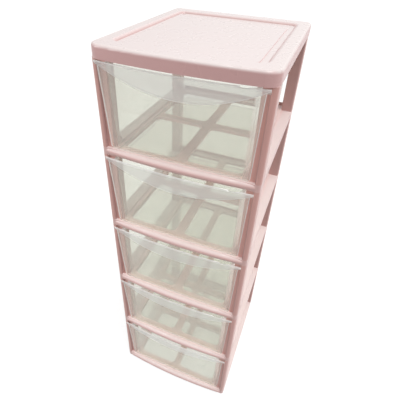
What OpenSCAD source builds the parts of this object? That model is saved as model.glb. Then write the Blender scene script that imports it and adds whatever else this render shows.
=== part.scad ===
// Drawer tower: open shelf frames on plug-in corner posts, a lid, and one clear drawer per tier.
// X runs across the front, -Y is the front, Z is up; the origin is under the middle of the tower.

/* [Tower] */
// Number of drawers
tiers = 5; // [1:1:8]
// Width over the posts
frame_w = 280; // [240:1:340]
// Depth over the posts
frame_d = 318; // [260:1:380]
// Clear height between two shelf frames
bay_h = 153; // [120:1:200]
// How far the front line is bowed forward between the corners
bow = 7.5; // [4:0.5:12]
// General wall of the pink mouldings
wall = 2.4; // [1.8:0.1:3]

/* [Posts] */
// Width of a post, seen from the front
post_w = 22; // [20:0.5:26]
// Depth of a post, seen from the side
post_d = 27; // [24:0.5:34]
// Width of the raised ridge down the outer half of a post's face
ridge_w = 10; // [8:0.5:12]
// Depth of the cove beside the ridge, where the drawer front sits
cove_d = 6; // [5:0.5:8]
// Rounding of a post's outer corner, and of the frames' corners
post_r = 6; // [4:0.5:7]
// Rounding of a post's other edges
ridge_r = 3.5; // [2:0.5:4]
// Length of the pegs that hold the posts
peg_h = 12; // [6:1:20]
// Gap round a peg in its post
peg_gap = 0.15; // [0.05:0.05:0.4]

/* [Shelf frames] */
// Height of a shelf frame, and of its half-round front rail
shelf_h = 14; // [12:0.5:18]
// How much lower the front rail stands than the frame behind it
nose_step = 0.3; // [0.2:0.1:0.6]
// How far the front rail stands ahead of the posts at its middle
nose_out = 9; // [8:0.5:12]
// Distance from a post's outer face to the side of the front rail's rounded end
nose_tip = 1.5; // [1:0.5:4]
// Plan radius of the front rail's rounded ends
nose_r = 15; // [12:1:20]
// Thickness of the plate between the windows
web = 2.4; // [1.8:0.1:3]
// Depth of the rims round the windows
rim_h = 6; // [4:0.5:9]
// Width of the side borders, from the outer face to the windows
side_border = 34; // [30:1:44]
// Width of the front and rear borders, from the post faces to the windows
end_border = 18; // [14:1:30]
// Width of the centre bar and the cross bar
bar_w = 17; // [12:1:30]
// Corner radius of the windows
window_r = 10; // [6:1:16]
// Height and thickness of the ribs that guide and stop the drawers
guide_h = 2; // [1:0.5:3]
guide_t = 2; // [1.5:0.5:3]
// Height of the stop along the rear rail
stop_h = 7; // [4:0.5:10]
// Height of the guide lugs beside the front posts
lug_h = 18; // [10:1:26]

/* [Lid] */
// Height of the lid
lid_h = 21; // [16:0.5:28]
// How far the lid stands ahead of the posts at its middle
lid_out = 13; // [12.5:0.5:18]
// How far the lid stands past the posts at the sides and the back
lid_over = 1; // [0.5:0.5:3]
// Corner radius of the lid at the front
lid_front_r = 21; // [18:1:32]
// Corner radius of the lid at the back
lid_back_r = 12; // [8:1:18]
// Rounding of the lid's upper edge
lid_edge_r = 5; // [3:0.5:7]
// Depth of the recess in the lid
recess_h = 4; // [3:0.5:5]
// Radius of the shoulder that rolls down into the recess
shoulder_r = 12; // [9:1:14]
// Width of the lid's border at the sides, the back and the front
recess_side = 20; // [18:1:30]
recess_back = 26; // [20:1:36]
recess_front = 35; // [28:1:44]
// Corner radius of the recess
recess_r = 14; // [12:1:24]
// How far the panel in the recess stands out of its floor
panel_rise = 1; // [0.5:0.1:1.5]
// Distance from the lid's outside to the raised panel at the sides, the back and the front
panel_side = 36; // [34:1:50]
panel_back = 64; // [50:1:80]
panel_front = 45; // [44.5:0.5:70]
// Corner radius of the raised panel
panel_r = 5; // [3:1:10]

/* [Drawers] */
// Wall of a drawer
drawer_wall = 2; // [1.4:0.1:2.6]
// Gap between a drawer's rim and the posts
side_gap = 1; // [0.5:0.1:2]
// Gap between a drawer's rim and the frame above
top_gap = 2.5; // [1.5:0.5:4]
// Running gap under a drawer's skids
seat_gap = 0.3; // [0.1:0.1:0.5]
// Gap between a closed drawer and the stop
back_gap = 3; // [1:0.5:6]
// Width of the flange round a drawer's rim
flange_w = 3; // [2:0.5:4]
// Height of the skids under a drawer
skid_h = 2.2; // [1.5:0.1:4]
// Width of a skid
skid_w = 3; // [2:0.5:4]
// Outward lean of the tub's walls, in degrees
draft = 1.2; // [0.5:0.1:2]
// Plan radius of the tub's rear corners
tub_r = 14; // [10:1:20]
// Rounding of the tub's lower edges
tub_edge_r = 7; // [4:0.5:8]
// Thickness of the drawer front
front_t = 2.2; // [1.6:0.1:2.6]
// Forward lean of the drawer front, in degrees
front_lean = 3; // [2:0.5:4]
// How far the drawer front's sides reach past the posts' inner faces, at the bottom and the top
front_lap_low = 3.5; // [2:0.5:5]
front_lap_high = 9; // [6:0.5:9.5]
// Gap between the drawer front and the cove behind it
cove_gap = 0.8; // [0.4:0.1:1.5]
// Depth of the pull lip at its middle
lip_h = 38; // [26:1:50]
// How far the pull lip flares ahead of the drawer front
lip_out = 6; // [4:0.5:6.5]
// Distance from the frame's side to the tips of the pull lip
lip_inset = 8; // [4:0.5:10]
// Height of the lip's tips, which reach past the drawer front
tip_h = 4; // [3:0.5:8]
// How far the rounded bead along the lip stands out of it
bead_out = 0.5; // [0.3:0.1:0.8]

/* [Hidden] */
$fn = 64;
eps = 0.01;
pink = [0.93, 0.76, 0.75];
pink_deep = [0.88, 0.69, 0.68];
clear_plastic = [0.84, 0.87, 0.84, 0.45];

half_w = frame_w / 2;
pitch = shelf_h + bay_h;
lid_z = tiers * pitch;
// The plan of the whole tower, lid included, is centred on the origin.
front_y = lid_out - (lid_out + frame_d + lid_over) / 2;
back_y = front_y + frame_d;
// Every bowed line has the radius of an arc that rises by bow over the frame's width.
bow_r = round((pow(half_w, 2) + pow(bow, 2)) / (2 * bow));
bow_step = 0.01;
bow_nest = 0.06;
end_hole = 1.5;
peg_root = 1;
// A rounded edge is cut a little short of level, so that it meets the flat at an angle.
edge_cut = 0.97;
wall_cut = 0.99;
// How far past the border's inner line the shoulder's centre lies, and where the shoulder ends
shoulder_top = shoulder_r * sqrt(1 - pow(edge_cut, 2));
shoulder_run = sqrt(pow(shoulder_r, 2) - pow(shoulder_r * edge_cut - recess_h, 2)) - shoulder_top;
inner_x = half_w - post_w;

// Hollow of a post, which its pegs fill
hollow_w = post_w - 2 * wall;
hollow_d = post_d - cove_d - 2 * wall;
hollow_y = cove_d + wall;

// Windows of a shelf frame, two across and two deep
window_w = half_w - side_border - bar_w / 2;
window_d = (frame_d - 2 * end_border - bar_w) / 2;

// A drawer, seen from its own floor upwards
drawer_z = shelf_h + seat_gap;
drawer_h = bay_h - seat_gap - top_gap;
bead_r = front_t / 2 + bead_out;
rim_z = drawer_h - 1.5 * bead_r;
tub_top_x = inner_x - side_gap - flange_w;
tub_h = rim_z - skid_h;
tub_x = tub_top_x - tub_h * tan(draft);
tub_back = back_y - guide_t - back_gap - flange_w - tub_h * tan(draft);
panel_y = front_y + cove_d - cove_gap - front_t;
panel_h = rim_z / cos(front_lean);
panel_low_x = inner_x + front_lap_low;
panel_high_x = inner_x + front_lap_high;
lip_x = half_w - lip_inset;
lip_r = (pow(lip_x, 2) + pow(lip_out, 2)) / (2 * lip_out);
lip_lean = atan(lip_out / lip_h);
skid_x = half_w - side_border + skid_w / 2 + seat_gap;

// Each corner is its name and its side of the tower in X and Y.
corners = [
    ["front_left", -1, -1], ["front_right", 1, -1],
    ["back_left", -1, 1], ["back_right", 1, 1]
];

function post_name(k, corner) = str("post_", k, "_", corner[0]);

// --- Outlines -------------------------------------------------------------------------------

// Sweeps a wall section along a straight stretch. The section's x points outwards, its y up.
module straight(from, heading, length) {
    translate([from[0], from[1], 0])
        rotate([0, 0, heading - 90])
            translate([0, length, 0])
                rotate([90, 0, 0])
                    linear_extrude(length) children();
}

// Sweeps a wall section round a corner whose centre and radius are given.
module bend(centre, radius, start, sweep, fineness = $fn) {
    translate([centre[0], centre[1], 0])
        rotate([0, 0, start])
            rotate_extrude(angle = sweep, $fn = fineness)
                intersection() {
                    translate([radius, 0]) children();
                    // Keeps a section that reaches the axis from crossing it
                    translate([0, -bow_r]) square(2 * bow_r);
                }
}

// Centre of the corner that ends a bowed front line. The corner is nested inside the line by a
// hair, so that the two never only touch.
function bow_end(x, y, r) =
    [x - r, round((y + bow_r - sqrt(pow(bow_r - r, 2) - pow(x - r, 2)) + bow_nest) / bow_step) * bow_step];
function bow_angle(x, r) = asin((x - r) / (bow_r - r));

// Sweeps one section along a bowed front line and another round its two ends.
module bowed_line(x, y, r) {
    turn = bow_angle(x, r);
    cut_x = bow_end(x, y, r)[0] + r * sin(turn);
    intersection() {
        bend([0, y + bow_r], bow_r, 269 - turn, 2 * turn + 2, 1440) children();
        translate([-cut_x, y - bow, -lid_h]) cube([2 * cut_x, 2 * bow_r, 3 * lid_h]);
    }
}
module bowed_ends(x, y, r) {
    c = bow_end(x, y, r);
    bend(c, r, 270, 90) children();
    bend([-c[0], c[1]], r, 180, 90) children();
}

// Sweeps a section back along both sides and across the rear, from the level y0.
module open_back(x, y0, y1, r) {
    straight([x, y0], 90, y1 - r - y0) children();
    bend([x - r, y1 - r], r, 0, 90) children();
    straight([x - r, y1], 180, 2 * (x - r)) children();
    bend([r - x, y1 - r], r, 90, 90) children();
    straight([-x, y1 - r], 270, y1 - r - y0) children();
}

// Sweeps a section round a whole rectangle with rounded corners.
module frame_sweep(x0, x1, y0, y1, r) {
    for (c = [[x1, y1, 0], [x0, y1, 90], [x0, y0, 180], [x1, y0, 270]]) {
        inward = [c[0] == x1 ? -r : r, c[1] == y1 ? -r : r];
        bend([c[0] + inward[0], c[1] + inward[1]], r, c[2], 90) children();
    }
    straight([x1, y0 + r], 90, y1 - y0 - 2 * r) children();
    straight([x1 - r, y1], 180, x1 - x0 - 2 * r) children();
    straight([x0, y1 - r], 270, y1 - y0 - 2 * r) children();
    straight([x0 + r, y0], 0, x1 - x0 - 2 * r) children();
}

// A rectangle between two corners, rounded all round.
module rounded_area(x0, x1, y0, y1, r) {
    translate([x0 + r, y0]) square([x1 - x0 - 2 * r, y1 - y0]);
    translate([x0, y0 + r]) square([x1 - x0, y1 - y0 - 2 * r]);
    for (x = [x0 + r, x1 - r], y = [y0 + r, y1 - r])
        translate([x, y]) circle(r);
}

// --- Posts ----------------------------------------------------------------------------------

// Places children, drawn for the front right corner, at each or at one of the corners.
module at_corner(corner) {
    translate([corner[1] * half_w, corner[2] < 0 ? front_y : back_y, 0])
        mirror([corner[1] < 0 ? 1 : 0, 0, 0])
            mirror([0, corner[2] < 0 ? 0 : 1, 0])
                children();
}

// A post's outline: the corner at the origin, the post reaching to -x and +y.
module post_area() {
    difference() {
        union() {
            rounded_area(-ridge_w, 0, 0, post_d, ridge_r);
            rounded_area(-post_w, 0, cove_d, post_d, ridge_r / 2);
        }
        // The outer corners have larger roundings
        mirror([1, 0, 0]) corner_cut(post_r);
        translate([0, post_d]) mirror([1, 1, 0]) corner_cut(ridge_r);
    }
    // A quarter round leads from the ridge down into the cove
    translate([-ridge_w, cove_d]) difference() {
        translate([-ridge_r / 2, -ridge_r / 2]) square(ridge_r / 2 + eps);
        translate([-ridge_r / 2, -ridge_r / 2]) circle(ridge_r / 2);
    }
}

// What a corner of radius r loses, drawn for the corner at the origin of the first quadrant.
module corner_cut(r) {
    difference() {
        translate([-eps, -eps]) square(r + eps);
        translate([r, r]) circle(r);
    }
}

module post_hollow(gap) {
    translate([wall + gap - post_w, hollow_y + gap])
        square([hollow_w - 2 * gap, hollow_d - 2 * gap]);
}

module post(k, corner) {
    color(pink_deep)
        translate([0, 0, (k - 1) * pitch + shelf_h])
            at_corner(corner)
                linear_extrude(bay_h) difference() {
                    post_area();
                    post_hollow(0);
                }
}

// A peg with a lead-in step, rooted in a frame and standing out of it.
module peg() {
    translate([0, 0, -peg_root]) {
        linear_extrude(peg_root + peg_h - wall) post_hollow(peg_gap);
        linear_extrude(peg_root + peg_h) post_hollow(peg_gap + wall / 2);
    }
}

// --- Shelf frames ---------------------------------------------------------------------------

// Section of the front rail: a half round with a strip that runs back into the plate. The rail
// stands a hair lower than the plate, which shows as a fine line along its front edge.
module nose_section(reach, shell) {
    r = shelf_h / 2 - nose_step;
    core = r - wall;
    translate([0, nose_step]) difference() {
        union() {
            translate([-r, r]) circle(r);
            translate([-reach, 0]) square([reach - r, 2 * r]);
        }
        if (shell) translate([-reach - 1, -1]) square([reach + 1 - r + core * 0.6, r + 1 + core * 0.78]);
    }
}

module for_each_window() {
    for (sx = [-1, 1], sy = [-1, 1])
        translate([sx * (bar_w + window_w) / 2, (front_y + back_y) / 2 + sy * (bar_w + window_d) / 2])
            children();
}

module window_area(grow) {
    x = window_w / 2 + grow;
    y = window_d / 2 + grow;
    rounded_area(-x, x, -y, y, window_r + grow);
}

module frame_area() {
    rounded_area(-half_w, half_w, front_y, back_y, post_r);
}

// Plate, side and rear walls, corner blocks and window rims of one frame.
module shelf_body() {
    under = shelf_h - web / 2;
    translate([0, 0, shelf_h - web]) linear_extrude(web) difference() {
        frame_area();
        for_each_window() window_area(0);
    }
    linear_extrude(under) difference() {
        frame_area();
        translate([wall - half_w, front_y - wall]) square([2 * (half_w - wall), frame_d]);
    }
    linear_extrude(under) intersection() {
        frame_area();
        for (corner = corners) at_corner_flat(corner) translate([-post_w, 0]) square([post_w, post_d]);
    }
    translate([0, 0, shelf_h - rim_h]) linear_extrude(rim_h - web / 2)
        for_each_window() difference() {
            window_area(wall);
            window_area(0);
        }
}

module at_corner_flat(corner) {
    translate([corner[1] * half_w, corner[2] < 0 ? front_y : back_y])
        mirror([corner[1] < 0 ? 1 : 0, 0])
            mirror([0, corner[2] < 0 ? 0 : 1])
                children();
}

// A low wall beside each front post that keeps the drawer straight.
module guide_lug(side) {
    length = post_d - cove_d - ridge_r;
    translate([side * inner_x, front_y + cove_d + ridge_r, shelf_h - web / 2])
        mirror([side > 0 ? 0 : 1, 0, 0])
            rotate([0, -90, 0]) linear_extrude(guide_t) {
                square([lug_h - length / 2, length]);
                translate([lug_h - length / 2, length / 2]) circle(length / 2);
            }
}

module shelf(k) {
    x = half_w - nose_tip;
    y = front_y - nose_out;
    color(pink) translate([0, 0, (k - 1) * pitch]) {
        shelf_body();
        bowed_line(x, y, nose_r) nose_section(nose_out + bow, true);
        bowed_ends(x, y, nose_r) nose_section(nose_r, false);
        for (side = [-1, 1]) {
            guide_lug(side);
            translate([side * inner_x - guide_t / 2, front_y + post_d, shelf_h - web / 2])
                cube([guide_t, frame_d - 2 * post_d, guide_h + web / 2]);
        }
        translate([-inner_x, back_y - guide_t, shelf_h - web / 2])
            cube([2 * inner_x, guide_t, stop_h + web / 2]);
        for (corner = corners) at_corner(corner) {
            translate([0, 0, shelf_h]) peg();
            if (k > 1) mirror([0, 0, 1]) peg();
        }
    }
}

// --- Lid ------------------------------------------------------------------------------------

// Section of the lid's edge: a rounded upper edge over a straight skirt.
module edge_section(reach, inset) {
    r = lid_edge_r - inset;
    foot = lid_h - r * edge_cut;
    translate([-reach, 0]) square([reach, foot]);
    translate([-reach, 0]) square([reach - r, lid_h]);
    intersection() {
        translate([-r, foot]) circle(r);
        translate([-2 * r, foot - r]) square([2 * r, lid_h - foot + r]);
    }
}

// The lid as a solid block, set back from its outside all round.
module lid_block(inset) {
    x = half_w + lid_over - inset;
    y0 = front_y - lid_out + inset;
    y1 = back_y + lid_over - inset;
    rf = lid_front_r - inset;
    rb = lid_back_r - inset;
    side_y = bow_end(x, y0, rf)[1];
    side_d = y1 - rb - side_y;
    bowed_line(x, y0, rf) edge_section(rf + bow, inset);
    bowed_ends(x, y0, rf) edge_section(rf - end_hole, inset);
    straight([x, side_y], 90, side_d) edge_section(x, inset);
    straight([-x, y1 - rb], 270, side_d) edge_section(x, inset);
    bend([x - rb, y1 - rb], rb, 0, 90) edge_section(rb, inset);
    bend([rb - x, y1 - rb], rb, 90, 90) edge_section(rb, inset);
    straight([x - rb, y1], 180, 2 * (x - rb)) edge_section(rb, inset);
}

// What the rolled shoulder leaves free above it, measured from the border's inner line.
module shoulder_section() {
    difference() {
        translate([-shoulder_run - 1, -recess_h]) square([shoulder_run + 2, recess_h + 1]);
        translate([shoulder_top, -shoulder_r * edge_cut]) circle(shoulder_r);
    }
}

// A column's outline: a post's without its rounded corners, reaching into the skirt's wall.
module column_area() {
    translate([-post_w, wall / 2]) square([post_w - post_r, post_d - wall / 2]);
    translate([-post_w, post_r]) square([post_w - wall / 2, post_d - post_r]);
}

module lid() {
    x = half_w + lid_over;
    y0 = front_y - lid_out;
    y1 = back_y + lid_over;
    rx = x - recess_side;
    ry0 = y0 + recess_front;
    ry1 = y1 - recess_back;
    run = shoulder_run;
    floor_h = recess_h + wall;
    color(pink) translate([0, 0, lid_z]) {
        difference() {
            union() {
                difference() {
                    lid_block(0);
                    translate([0, 0, -wall]) lid_block(wall);
                }
                // Plate under the recess, and the columns over the posts
                translate([0, 0, lid_h - floor_h]) linear_extrude(floor_h - wall / 2)
                    rounded_area(-rx, rx, ry0, ry1, recess_r);
                for (corner = corners) at_corner(corner)
                    linear_extrude(lid_h - wall / 2) column_area();
            }
            translate([0, 0, lid_h]) frame_sweep(-rx, rx, ry0, ry1, recess_r) shoulder_section();
            translate([0, 0, lid_h - recess_h]) linear_extrude(recess_h + 1)
                rounded_area(run - rx, rx - run, ry0 + run, ry1 - run, recess_r - run);
        }
        // The raised panel
        translate([0, 0, lid_h - recess_h - wall / 2]) linear_extrude(wall / 2 + panel_rise)
            rounded_area(panel_side - x, x - panel_side, y0 + panel_front, y1 - panel_back, panel_r);
        for (corner = corners) at_corner(corner)
            mirror([0, 0, 1]) peg();
    }
}

// --- Drawers --------------------------------------------------------------------------------

// Area between a tub's wall and its middle, x measured outwards from the foot of the wall.
module tub_area(inset, reach, r) {
    foot = -inset;
    centre = [foot - r * (1 - sin(draft)) / cos(draft), inset + r];
    tangent = centre + r * wall_cut * [cos(draft), -sin(draft)];
    top = [tangent[0] + (tub_h - tangent[1]) * tan(draft), tub_h];
    polygon([
        [-reach, inset], [centre[0], inset], centre, tangent,
        [top[0], tub_h + inset], [-reach, tub_h + inset]
    ]);
    translate(centre) circle(r);
}

// Section of the tub: floor, rounded lower edge, leaning wall and rim flange.
module tub_section() {
    difference() {
        intersection() {
            tub_area(0, tub_r, tub_edge_r);
            translate([-tub_r, 0]) square([2 * tub_r, tub_h]);
        }
        tub_area(drawer_wall, tub_r + 1, tub_edge_r - drawer_wall);
    }
    translate([tub_h * tan(draft) - drawer_wall / 2, tub_h - drawer_wall])
        square([flange_w + drawer_wall / 2, drawer_wall]);
}

// The drawer front's own frame: x across, z up the panel, -y out of its face.
module on_front() {
    translate([0, panel_y, 0]) rotate([front_lean, 0, 0]) children();
}

// The flared lip's own frame: the axis of its curve is upright, its rim is at zero.
module on_lip() {
    on_front() translate([0, 0, panel_h]) rotate([lip_lean, 0, 0])
        translate([0, lip_r - lip_out, 0]) children();
}

// The space behind the lip's face, set back by a wall where wanted.
module lip_space(set_back) {
    on_lip() translate([0, 0, -2 * lip_h])
        cylinder(h = 3 * lip_h, r = lip_r - set_back, $fn = 1440);
}

// Room across the drawer front for cutting the lip out, between two levels up the panel.
module lip_box(x, low, high, back) {
    on_front() translate([-x, -4 * lip_out, low]) cube([2 * x, 4 * lip_out + back, high - low]);
}

module front_area() {
    foot_r = tub_edge_r / 2;
    polygon([
        [foot_r - panel_low_x, 0], [panel_low_x - foot_r, 0], [panel_low_x, foot_r],
        [panel_high_x, panel_h], [-panel_high_x, panel_h], [-panel_low_x, foot_r]
    ]);
}

// Stands the drawer front's outline up, from one distance behind its face to another.
module front_slab(ahead, behind) {
    on_front() rotate([90, 0, 0]) translate([0, 0, -behind]) linear_extrude(ahead + behind) children();
}

module drawer_front() {
    bead_turn = asin(lip_x / lip_r);
    difference() {
        union() {
            front_slab(0, front_t) front_area();
            intersection() {
                lip_space(0);
                front_slab(4 * lip_out, front_t) front_area();
            }
            // The lip's tips
            intersection() {
                lip_space(0);
                lip_box(lip_x, panel_h - tip_h, panel_h, front_t);
            }
        }
        // The lip is a single wall over the tub's width
        intersection() {
            lip_space(front_t);
            lip_box(tub_x - drawer_wall, panel_h - 2 * lip_h, panel_h + lip_h, front_t + 1);
        }
        // The rim is square to the lip
        on_lip() translate([-lip_r, -2 * lip_r, 0]) cube([2 * lip_r, 2 * lip_r, lip_h]);
    }
    on_lip() translate([0, 0, bead_r / 2]) rotate([0, 0, 270 - bead_turn])
        rotate_extrude(angle = 2 * bead_turn, $fn = 1440)
            translate([lip_r - front_t / 2, 0]) circle(bead_r, $fn = 32);
}

module drawer(k) {
    foot_y = panel_y + front_t / 2;
    color(clear_plastic) translate([0, 0, (k - 1) * pitch + drawer_z]) {
        difference() {
            translate([0, 0, skid_h]) {
                open_back(tub_x, foot_y - tub_r, tub_back, tub_r) tub_section();
                translate([tub_edge_r - tub_x, foot_y - tub_r, 0])
                    cube([2 * (tub_x - tub_edge_r), tub_back - foot_y, drawer_wall]);
            }
            // The tub ends at the leaning front
            on_front() translate([-frame_w, front_t / 2 - frame_d, -drawer_h])
                cube([2 * frame_w, frame_d, 3 * drawer_h]);
        }
        drawer_front();
        for (side = [-1, 1])
            translate([side * skid_x - skid_w / 2, foot_y, 0])
                cube([skid_w, tub_back - foot_y - tub_r, skid_h + drawer_wall]);
    }
}

// --- Assembly -------------------------------------------------------------------------------

lid();
for (k = [1 : tiers]) {
    shelf(k);
    for (corner = corners)
        post(k, corner);
    drawer(k);
}
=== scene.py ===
# A five-tier drawer tower: pink moulded shelf frames on plug-in corner posts, a lid, and a clear
# drawer in each tier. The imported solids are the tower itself. This script gives them their
# plastics, adds the gate mark that moulding leaves on the lid, and sets up the studio.
import math

import bpy
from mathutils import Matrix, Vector


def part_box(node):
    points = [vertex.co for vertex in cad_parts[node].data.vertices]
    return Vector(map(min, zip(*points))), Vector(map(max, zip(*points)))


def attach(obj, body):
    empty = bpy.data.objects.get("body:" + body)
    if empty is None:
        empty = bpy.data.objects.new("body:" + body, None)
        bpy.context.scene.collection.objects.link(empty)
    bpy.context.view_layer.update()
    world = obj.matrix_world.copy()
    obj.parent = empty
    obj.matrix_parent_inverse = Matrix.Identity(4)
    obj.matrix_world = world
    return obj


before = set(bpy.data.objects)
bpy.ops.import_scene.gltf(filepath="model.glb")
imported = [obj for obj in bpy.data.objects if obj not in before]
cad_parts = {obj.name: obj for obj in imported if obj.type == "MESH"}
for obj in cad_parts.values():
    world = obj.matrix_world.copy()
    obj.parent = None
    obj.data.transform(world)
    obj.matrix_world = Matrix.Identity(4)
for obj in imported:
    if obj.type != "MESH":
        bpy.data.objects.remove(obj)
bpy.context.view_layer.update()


# --- Camera ---------------------------------------------------------------------------------------
# A wide lens half a metre from the lid, above it and a little to its right. It looks down along
# the front, so that all five drawers show.
camera = bpy.data.objects.new("camera", bpy.data.cameras.new("camera"))
bpy.context.scene.collection.objects.link(camera)
bpy.context.scene.camera = camera
camera.location = (0.1905, -0.5860, 0.9927)
camera.rotation_euler = [math.radians(turn) for turn in (54.599, -1.768, 22.201)]
camera.data.sensor_width = 36
camera.data.lens = 31.48
camera.data.shift_x = 0.0261
camera.data.shift_y = -0.0552
camera.data.clip_start = 0.01


# --- Shelf frames ---------------------------------------------------------------------------------
# One under each tier, plugged to the posts by corner pegs: polypropylene, injection moulded in a
# pale pink that clouds faintly where the melt flowed, painted paler than the posts' for the light
# it catches. Broad faces keep a slight waviness. Faces tilted up carry painted light, the upward
# outer edges a painted highlight, and faces turned inwards painted shade.
class Wire:
    """One value in a finish. Sums and products of wires add the nodes that work them out."""

    def __init__(self, finish, socket):
        self.finish = finish
        self.socket = socket

    def __add__(self, other): return self.finish.maths("ADD", self, other)
    def __radd__(self, other): return self.finish.maths("ADD", other, self)
    def __sub__(self, other): return self.finish.maths("SUBTRACT", self, other)
    def __rsub__(self, other): return self.finish.maths("SUBTRACT", other, self)
    def __mul__(self, other): return self.finish.maths("MULTIPLY", self, other)
    def __rmul__(self, other): return self.finish.maths("MULTIPLY", other, self)
    def __pow__(self, other): return self.finish.maths("POWER", self, other)
    def __rpow__(self, other): return self.finish.maths("POWER", other, self)
    def __abs__(self): return self.finish.maths("ABSOLUTE", self)


class Finish:
    """The nodes of one plastic, or of the room's light, under construction."""

    def __init__(self, owner):
        owner.use_nodes = True
        self.owner = owner
        self.tree = owner.node_tree
        self.tree.nodes.clear()

    def add(self, kind, inputs, output=0, **settings):
        """Adds any node: first its settings, then the values or wires of its sockets."""
        node = self.tree.nodes.new(kind)
        for name, value in settings.items():
            setattr(node, name, value)
        for name, value in inputs.items():
            if isinstance(value, Wire):
                self.tree.links.new(value.socket, node.inputs[name])
            else:
                node.inputs[name].default_value = value
        if node.outputs:
            return Wire(self, node.outputs[output])

    def maths(self, operation, first, second=0.0):
        return self.add("ShaderNodeMath", {0: first, 1: second}, operation=operation)

    def place(self, kind="Object"):
        return self.add("ShaderNodeTexCoord", {}, output=kind)

    def parts(self, vector):
        """The X, Y and Z of a vector."""
        node = self.add("ShaderNodeSeparateXYZ", {"Vector": vector}).socket.node
        return [Wire(self, node.outputs[axis]) for axis in "XYZ"]

    def ramp(self, value, start, end, low=0.0, high=1.0):
        """Goes from low to high as the value goes from start to end, and stays there outside."""
        return self.add("ShaderNodeMapRange", {
            "Value": value, "From Min": start, "From Max": end, "To Min": low, "To Max": high})

    def noise(self, scale, detail=2.0, stretch=(1, 1, 1), offset=(0, 0, 0)):
        place = self.add("ShaderNodeMapping", {
            "Vector": self.place(), "Location": offset, "Scale": stretch})
        return self.add("ShaderNodeTexNoise", {"Vector": place, "Scale": scale, "Detail": detail})

    def cloud(self, low, high, scale, detail=2.0, stretch=(1, 1, 1), offset=(0, 0, 0)):
        """Noise, which keeps mostly between 0.3 and 0.7, spread over low to high."""
        return self.ramp(self.noise(scale, detail, stretch, offset), 0.3, 0.7, low, high)

    def blend(self, factor, first, second):
        """A colour, from first where the factor is 0 to second where it is 1."""
        return self.add("ShaderNodeMix", {0: factor, 6: first, 7: second}, output=2,
                        data_type="RGBA")

    def mix(self, factor, first, second):
        """A shader, from first where the factor is 0 to second where it is 1."""
        return self.add("ShaderNodeMixShader", {0: factor, 1: first, 2: second})

    def bump(self, height, strength, distance):
        return self.add("ShaderNodeBump", {
            "Height": height, "Strength": strength, "Distance": distance})

    def close(self, shader, kind="Material"):
        self.add("ShaderNodeOutput" + kind, {"Surface": shader})
        return self.owner


def dress(pieces, material):
    """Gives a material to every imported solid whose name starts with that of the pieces."""
    for name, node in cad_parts.items():
        if name.startswith(pieces):
            node.data.materials.clear()
            node.data.materials.append(material)


def pink_plastic(name, light, deep, top_light, edge_highlight, side_line=0.122, end_line=0.149,
                 top_light_tilt=0.30, highlight_tilt=(0.30, 0.99), dull=0.30, waves=0.05):
    """Clouds of light and deep, with top_light painted on what is tilted up from top_light_tilt,
    0 upright to 1 level, and painted shade on faces turned inwards.

    edge_highlight, a painted highlight, covers what is tilted up over highlight_tilt and lies
    outside the side and end lines, which are distances in metres from the middle of the tower. dull
    is the mean roughness.
    """
    # Painted shade: faces turned in towards the middle of the tower get this darker colour.
    painted_inner_shade = (0.51, 0.30, 0.28, 1)
    inner_shade_fade = (-0.05, -0.10)
    level = 0.99
    highlight_fade = (-0.008, 0.004)
    dull_spread = 0.02

    pink = Finish(bpy.data.materials.new(name))
    spot_x, spot_y, _ = pink.parts(pink.place())
    facing_x, facing_y, facing_up = pink.parts(
        pink.add("ShaderNodeNewGeometry", {}, output="Normal"))

    broad = pink.cloud(0, 1, scale=9, detail=3)
    tall = pink.cloud(0, 1, scale=22, stretch=(1, 1, 0.25), offset=(0.3, 0.1, 0))
    moulded = pink.blend(broad * 0.6 + tall * 0.4, light, deep)
    # Faces turned inwards, where the tower's shade falls, are blended to the painted shade colour.
    outwards = pink.maths("MINIMUM", facing_x * spot_x, facing_y * spot_y)
    shadowed = pink.blend(pink.ramp(outwards, *inner_shade_fade), moulded, painted_inner_shade)
    # Painted light: faces tilted up are blended to a paler colour, as if lit from above.
    painted_top_light = pink.blend(pink.ramp(facing_up, top_light_tilt, level), shadowed, top_light)
    # Painted highlight: upward faces outside the side and end lines, such as the rail noses and the
    # lid's border, are paler still, with a faint random tone.
    past_line = pink.maths("MAXIMUM", abs(spot_x) - side_line, abs(spot_y) - end_line)
    painted_highlight = pink.ramp(past_line, *highlight_fade) * pink.ramp(facing_up, *highlight_tilt)
    colour = pink.blend(painted_highlight * pink.cloud(0.95, 1, scale=4, detail=1), painted_top_light, edge_highlight)
    return pink.close(pink.add("ShaderNodeBsdfPrincipled", {
        "Base Color": colour,
        "Roughness": pink.cloud(dull - dull_spread, dull + dull_spread, scale=34),
        "Normal": pink.bump(pink.noise(scale=14, detail=1), strength=waves, distance=0.002),
        "IOR": 1.5}))


frame_pink = pink_plastic(
    "frame_pink", light=(0.77, 0.50, 0.47, 1), deep=(0.75, 0.47, 0.44, 1),
    top_light=(0.87, 0.645, 0.615, 1), edge_highlight=(0.80, 0.67, 0.65, 1))
dress("shelf_", frame_pink)


# --- Posts ----------------------------------------------------------------------------------------
# Four hollow posts to a tier, moulded in the same polypropylene, a little deeper in colour: painted
# shade, as the frames' rails and borders catch more light. Each is pushed over the pegs below and
# above it, so a seam crosses it at every rail.
# The darker pink here is painted shade, beside the frames' paler painted light.
post_pink = pink_plastic(
    "post_pink", light=(0.72, 0.40, 0.355, 1), deep=(0.70, 0.38, 0.34, 1),
    top_light=(0.76, 0.60, 0.58, 1), edge_highlight=(0.76, 0.60, 0.58, 1))
dress("post_", post_pink)


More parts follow.
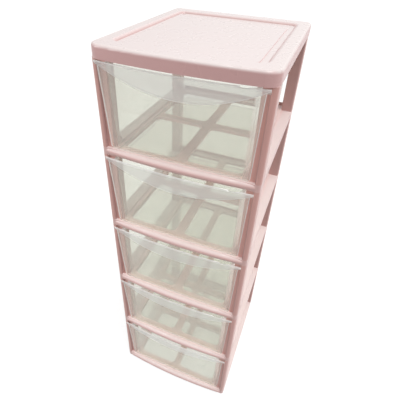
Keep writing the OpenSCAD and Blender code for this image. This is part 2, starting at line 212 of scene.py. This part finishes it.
# --- Lid ------------------------------------------------------------------------------------------
# One moulding of the same plastic, pegged to the posts of the highest tier: a shallow recess
# inside a rolled border. It is smoother than the frames, and palest where light is painted on its
# upward faces and a highlight over the border.
lid_pink = pink_plastic(
    "lid_pink", light=(0.73, 0.44, 0.425, 1), deep=(0.715, 0.425, 0.41, 1),
    top_light=(0.79, 0.695, 0.68, 1), edge_highlight=(0.80, 0.71, 0.69, 1), side_line=0.1325, end_line=0.1575,
    top_light_tilt=0.62, highlight_tilt=(0.02, 0.66), dull=0.28, waves=0.012)
dress("lid", lid_pink)


# --- Gate mark ------------------------------------------------------------------------------------
# The spot near the back left corner of the lid's recess where the melt entered the mould: a
# shallow dished disc of the lid's own plastic, with the nub that stayed when the sprue was
# snapped off.
mark_place = (-0.1085, 0.1275)
mark_radius = 0.0034
mark_stands = 0.0004
recess_depth = 0.004
recess_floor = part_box("lid")[1][2] - recess_depth
# How far the top goes in and then up: the slope into the dish, its floor, the nub's side and cap.
mark_steps = ((0.0007, -0.0003), (0.0013, 0.0), (0.0003, 0.0006), (0.0004, 0.0001))

bpy.ops.object.select_all(action="DESELECT")
bpy.ops.mesh.primitive_cylinder_add(vertices=32, radius=mark_radius, depth=2 * mark_stands,
                                    location=(*mark_place, recess_floor))
gate_mark = bpy.context.object
gate_mark.name = "lid_gate_mark"
bpy.ops.object.transform_apply(location=True, rotation=False, scale=False)
bpy.ops.object.mode_set(mode="EDIT")
bpy.ops.mesh.select_all(action="DESELECT")
bpy.ops.object.mode_set(mode="OBJECT")
for face in gate_mark.data.polygons:
    face.select = face.normal.z > 0.9
bpy.ops.object.mode_set(mode="EDIT")
for inset, rise in mark_steps:
    bpy.ops.mesh.inset(thickness=inset)
    bpy.ops.transform.translate(value=(0, 0, rise))
bpy.ops.object.mode_set(mode="OBJECT")
bpy.ops.object.shade_smooth_by_angle(angle=math.radians(40))
gate_mark.data.materials.append(lid_pink)
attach(gate_mark, "tower")


# --- Drawers --------------------------------------------------------------------------------------
# Clear polystyrene, moulded in one piece: a tub, a leaning front and a pull lip that flares out
# of it above a shallow arc. The plastic is faintly green and milky, and a wall seen along its
# length looks almost solid. Bright lines along its edges, rim, foot and arc are painted highlights,
# and the lip's extra milk and blue tint are painted sheen.
pitch = 0.167
drawer_foot = 0.0143
front_half_low = 0.1215
front_half_high = 0.127
front_height = 0.14774
lip_half = 0.132
lip_flare = 0.006
lip_depth = 0.038
lip_radius = (lip_half ** 2 + lip_flare ** 2) / (2 * lip_flare)
lip_lean = math.atan(lip_flare / lip_depth)

# Where each painted highlight and the lip's painted sheen begin to show and where they are full,
# in metres. The front's is a place from front to back, the lip's and the crease's are distances
# from the arc, the side's from the front's side line, and the others are heights above the
# drawer's foot.
front_fade = (-0.1462, -0.1478)
lip_fade = (-0.0004, 0.0006)
crease_fade = (0.0011, 0.0005)
side_fade = (-0.0012, -0.0007)
side_top_fade = (0.1440, 0.1425)
rim_fade = (0.1462, 0.1472)
foot_fade = (0.0030, 0.0022)

clear = Finish(bpy.data.materials.new("drawer_clear"))
across, back, up = clear.parts(clear.place())
height = clear.maths("MODULO", up - drawer_foot, pitch)
ahead = clear.ramp(back, *front_fade)
arc = front_height - (lip_flare - across * across * (0.5 / lip_radius)) * (1 / math.sin(lip_lean))
# Painted sheen: the lip above the arc is made milkier and bluer.
lip = clear.ramp(height - arc, *lip_fade) * ahead
crease = clear.ramp(abs(height - arc), *crease_fade) * ahead
half = height * ((front_half_high - front_half_low) / front_height) + front_half_low
side = clear.ramp(abs(across) - half, *side_fade) * clear.ramp(height, *side_top_fade) * ahead
rim = clear.ramp(height, *rim_fade)
foot = clear.ramp(height, *foot_fade) * ahead
# Painted highlights: bright lines along the arc's crease, the front's sides, the rim and the foot.
painted_glint = clear.maths("MINIMUM", crease * 0.30 + side * 0.80 + rim * 0.20 + foot * 0.20, 1.0)

ripple = clear.bump(clear.noise(scale=12), strength=0.10, distance=0.0015)
along_wall = clear.add("ShaderNodeLayerWeight", {"Blend": 0.5, "Normal": ripple}, output="Facing")
# A shadow ray passes nearly unhindered, so that light gets into the tower.
shadow_ray = clear.add("ShaderNodeLightPath", {}, output="Is Shadow Ray")

seen_through = clear.add("ShaderNodeBsdfTransparent", {"Color": (0.918, 0.926, 0.892, 1)})
lit_through = clear.add("ShaderNodeBsdfTransparent", {"Color": (1, 1, 1, 1)})
glassy = clear.mix(shadow_ray, seen_through, lit_through)

# The lip's blue tint and the edge lines' paler tint are painted sheen and highlights.
tint = clear.blend(lip, (0.97, 0.95, 0.92, 1), (0.98, 0.98, 1.0, 1))
tint = clear.blend(painted_glint, tint, (0.97, 0.96, 0.96, 1))
front_light = clear.add("ShaderNodeBsdfPrincipled", {
    "Base Color": tint, "Roughness": 1.0, "Specular IOR Level": 0.0, "Normal": ripple})
back_light = clear.add("ShaderNodeBsdfTranslucent", {
    "Color": (0.97, 0.975, 0.94, 1), "Normal": ripple})
milk = clear.mix(0.4, front_light, back_light)
thin_milk = clear.cloud(0.11, 0.14, scale=7, detail=3, offset=(0.4, 0, 0.2))
# The lip's extra milk and the edge lines are painted sheen and highlights; the rest is the
# plastic's own haze.
milkiness = along_wall ** 8 * 0.8 + thin_milk + lip * 0.20 + painted_glint
body = clear.mix(milkiness * (1 - shadow_ray * 0.95), glassy, milk)

gloss = clear.add("ShaderNodeBsdfPrincipled", {
    "Base Color": (1, 1, 1, 1), "Metallic": 1.0, "Roughness": 0.06, "Normal": ripple})
glossiness = (along_wall ** 7 * 0.8 + 0.045) * (1 - shadow_ray)
drawer_clear = clear.close(clear.mix(glossiness, body, gloss))
dress("drawer_", drawer_clear)


# --- Studio ---------------------------------------------------------------------------------------
# A pale sweep that throws little light back up at the front, a broad overhead light, a softbox
# to the left of the camera, and a white room, brightest high up to the right and behind.
bpy.ops.object.select_all(action="DESELECT")
bpy.ops.mesh.primitive_plane_add(size=30, location=(0, 0, 0))
floor = bpy.context.object
floor.name = "floor"
sweep = Finish(bpy.data.materials.new("pale_floor"))
paper = sweep.add("ShaderNodeBsdfPrincipled", {
    "Base Color": (0.3, 0.3, 0.3, 1), "Roughness": 0.9, "Specular IOR Level": 0.0,
    "Emission Color": (1, 1, 1, 1), "Emission Strength": 0.75})
bounce = sweep.add("ShaderNodeEmission", {"Color": (1, 1, 1, 1), "Strength": 0.2})
diffuse_ray = sweep.add("ShaderNodeLightPath", {}, output="Is Diffuse Ray")
floor.data.materials.append(sweep.close(sweep.mix(diffuse_ray, paper, bounce)))


def hang(name, kind, energy, aim):
    lamp = bpy.data.objects.new(name, bpy.data.lights.new(name, kind))
    bpy.context.scene.collection.objects.link(lamp)
    lamp.data.energy = energy
    lamp.rotation_euler = aim.to_track_quat("-Z", "Y").to_euler()
    return lamp


overhead = hang("overhead", "SUN", 1.35, aim=Vector((-0.22, 0.16, -1)))
overhead.data.angle = math.radians(20)

softbox_place = Vector((-1.1, -0.95, 1.15))
upper_tower = Vector((0, 0, 0.7))
softbox = hang("softbox", "AREA", 7, aim=upper_tower - softbox_place)
softbox.location = softbox_place
softbox.data.size = 0.8
softbox.visible_camera = False

room = Finish(bpy.data.worlds.new("room"))
brightest_way = (0.70, 0.50, 0.50)
towards_it = room.add("ShaderNodeVectorMath", {0: room.place("Generated"), 1: brightest_way},
                      output="Value", operation="DOT_PRODUCT")
glow = room.add("ShaderNodeMapRange", {
    "Value": towards_it, "From Min": -0.5, "From Max": 0.75, "To Min": 0.18, "To Max": 1.0},
    interpolation_type="SMOOTHSTEP")
camera_ray = room.add("ShaderNodeLightPath", {}, output="Is Camera Ray")
strength = room.add("ShaderNodeMix", {0: camera_ray, 2: glow, 3: 1.0})
white = room.add("ShaderNodeBackground", {"Color": (1, 1, 1, 1), "Strength": strength})
bpy.context.scene.world = room.close(white, "World")
bpy.context.scene.view_settings.view_transform = "Standard"
bpy.context.scene.cycles.transparent_max_bounces = 64
